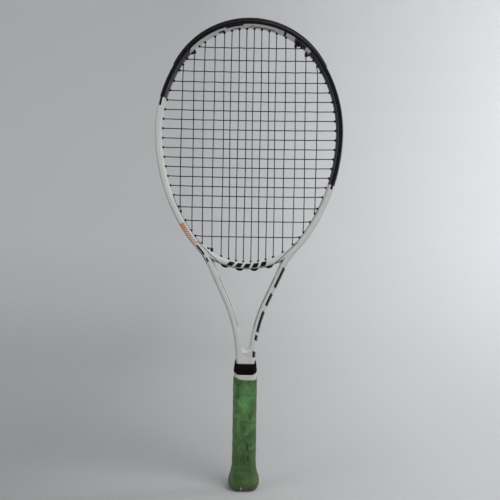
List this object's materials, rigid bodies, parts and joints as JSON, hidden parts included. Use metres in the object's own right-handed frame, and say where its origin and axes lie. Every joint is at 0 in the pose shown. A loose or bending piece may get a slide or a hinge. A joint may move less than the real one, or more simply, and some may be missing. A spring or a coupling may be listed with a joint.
{
  "type": "tennis racket",
  "caption": "Strung tennis racket with an oval hoop, open triangular throat, black string bed and a wrapped octagonal handle with a flared butt.",
  "frame": {"origin": "centre of the butt's end face", "axes": "+Z from the butt to the tip along the racket's length, +X across the hoop, -Y out of the front face of the strings"},
  "size_m": [0.2749, 0.0428, 0.6849],
  "materials": {
    "frame_paint": "satin white lacquer over carbon, black over the top of the hoop",
    "grommet_plastic": "moulded black nylon",
    "string": "smooth black polyester",
    "pallet_foam": "rigid foam",
    "cap_plastic": "moulded black",
    "staple_steel": "bright wire",
    "base_grip_leather": "worn light grey-beige",
    "tape": "thin adhesive tape",
    "overgrip_film": "worn, mottled green overgrip",
    "collar_rubber": "soft black"
  },
  "bodies": {
    "racket": {"frame": "frame_paint", "throat_bridge": "frame_paint", "bumper_guard": "grommet_plastic", "left_grommet_strip": "grommet_plastic", "right_grommet_strip": "grommet_plastic", "throat_grommet_strip": "grommet_plastic", "main_string": "string", "cross_string": "string", "main_string_knots": "string", "cross_string_knots": "string", "front_pallet": "pallet_foam", "back_pallet": "pallet_foam", "butt_cap": "cap_plastic", "butt_cap_staples": "staple_steel", "base_grip": "base_grip_leather", "base_grip_tack": "staple_steel", "finishing_tape": "tape", "overgrip": "overgrip_film"},
    "collar": {"rubber_collar": "collar_rubber"},
    "trap_door": {"butt_trap_door": "cap_plastic"}
  },
  "joints": [
    {"name": "collar_slide", "type": "slide", "parent": "racket", "child": "collar", "axis": [0, 0, 1], "range_m": [0, 0.008]},
    {"name": "trap_door_pull", "type": "slide", "parent": "racket", "child": "trap_door", "axis": [0, 0, -1], "range_m": [0, 0.012]}
  ]
}
